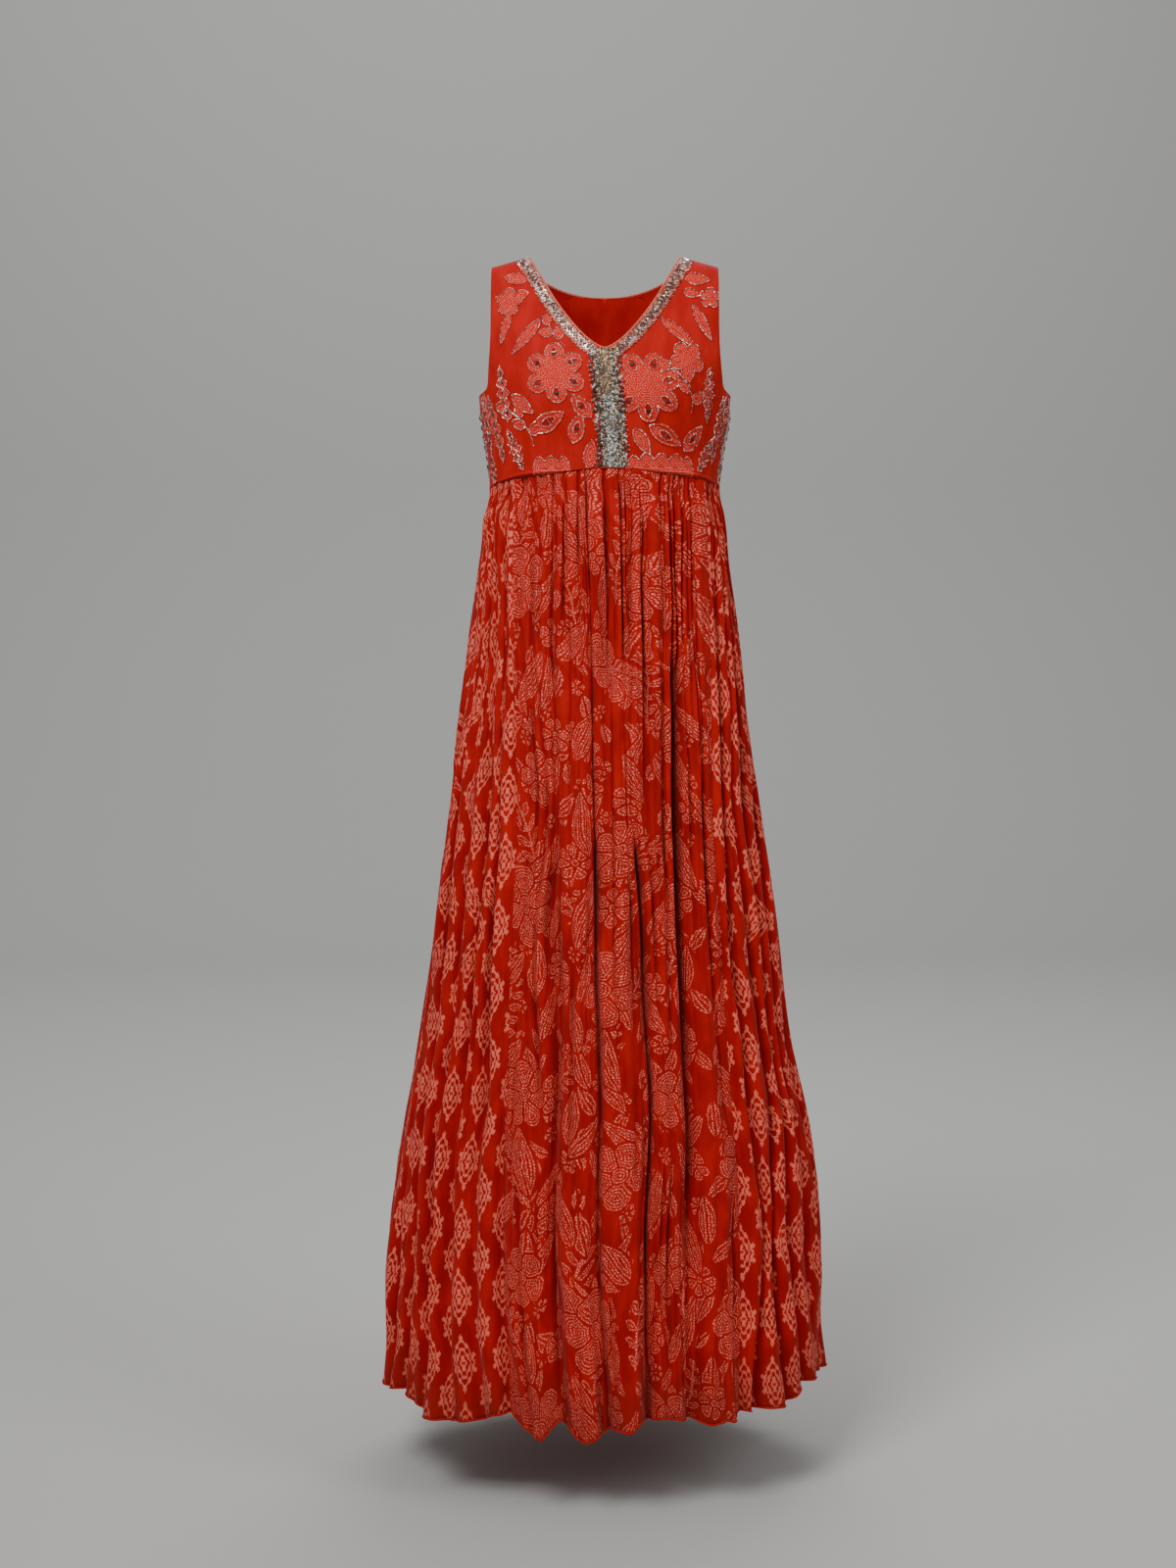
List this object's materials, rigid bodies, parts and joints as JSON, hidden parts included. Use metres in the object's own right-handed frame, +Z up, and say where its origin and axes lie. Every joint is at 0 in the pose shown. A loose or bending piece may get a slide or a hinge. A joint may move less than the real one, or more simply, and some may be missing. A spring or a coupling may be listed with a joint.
{
  "type": "anarkali gown",
  "caption": "Sleeveless empire-line gown with a beaded V neck and placket, and a gathered floor-length skirt, hollow as worn.",
  "frame": {"origin": "midway between the two shoulder seams, at their height, where the wearer's shoulders hold the gown up", "axes": "+Z up the wearer, -Y the front of the skirt, +X the wearer's left"},
  "size_m": [0.5549, 0.5034, 1.4025],
  "materials": {
    "bodice_cloth": "matt crepe, red with a coral print and beaded outlines",
    "floral_cloth": "crinkled georgette, red with a dotted coral flower print",
    "ikat_cloth": "crinkled georgette, red with a small coral ikat repeat",
    "beadwork": "dense silver and gold beads sewn on cloth",
    "piping": "coral corded edge"
  },
  "bodies": {
    "root": {"bodice_front": "bodice_cloth", "bodice_back": "bodice_cloth", "skirt_front": "floral_cloth", "skirt_back": "floral_cloth", "skirt_left_side": "ikat_cloth", "skirt_right_side": "ikat_cloth", "placket_strip": "beadwork", "neck_border_left": "beadwork", "neck_border_right": "beadwork", "neck_piping": "piping"}
  },
  "joints": []
}
